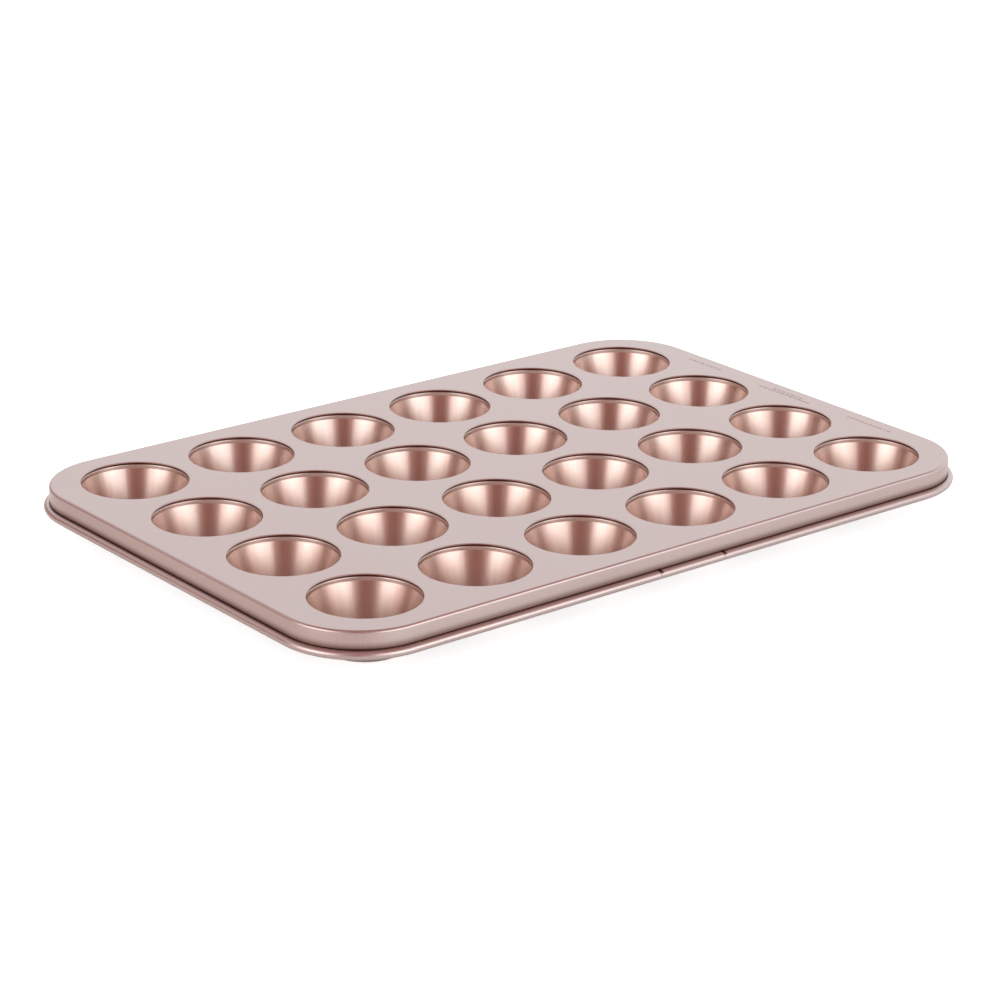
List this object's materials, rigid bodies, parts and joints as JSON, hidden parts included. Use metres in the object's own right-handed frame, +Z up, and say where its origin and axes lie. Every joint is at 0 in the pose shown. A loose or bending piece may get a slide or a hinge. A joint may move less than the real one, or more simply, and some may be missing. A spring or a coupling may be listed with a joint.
{
  "type": "mini muffin tin",
  "caption": "Rectangular mini muffin tin in coated sheet steel: a flat deck with a turned-down skirt and a wired, rolled rim, and a grid of round tapered cups seamed into it.",
  "frame": {"origin": "centre of the tin, on the plane of the cup floors that it stands on", "axes": "+X along the long side, +Y towards the back, away from the long side that carries the wire's two stakes, +Z up"},
  "size_m": [0.386, 0.2604, 0.0235],
  "materials": {
    "plate_coating": "satin metallic rose-gold non-stick coating",
    "cup_coating": "satin metallic rose-gold non-stick coating",
    "rim_wire_steel": "bright drawn"
  },
  "bodies": {
    "root": {"top_plate": "plate_coating", "rim_wire": "rim_wire_steel", "cup_row1_col1": "cup_coating", "cup_row1_col2": "cup_coating", "cup_row1_col3": "cup_coating", "cup_row1_col4": "cup_coating", "cup_row1_col5": "cup_coating", "cup_row1_col6": "cup_coating", "cup_row2_col1": "cup_coating", "cup_row2_col2": "cup_coating", "cup_row2_col3": "cup_coating", "cup_row2_col4": "cup_coating", "cup_row2_col5": "cup_coating", "cup_row2_col6": "cup_coating", "cup_row3_col1": "cup_coating", "cup_row3_col2": "cup_coating", "cup_row3_col3": "cup_coating", "cup_row3_col4": "cup_coating", "cup_row3_col5": "cup_coating", "cup_row3_col6": "cup_coating", "cup_row4_col1": "cup_coating", "cup_row4_col2": "cup_coating", "cup_row4_col3": "cup_coating", "cup_row4_col4": "cup_coating", "cup_row4_col5": "cup_coating", "cup_row4_col6": "cup_coating"}
  },
  "joints": []
}
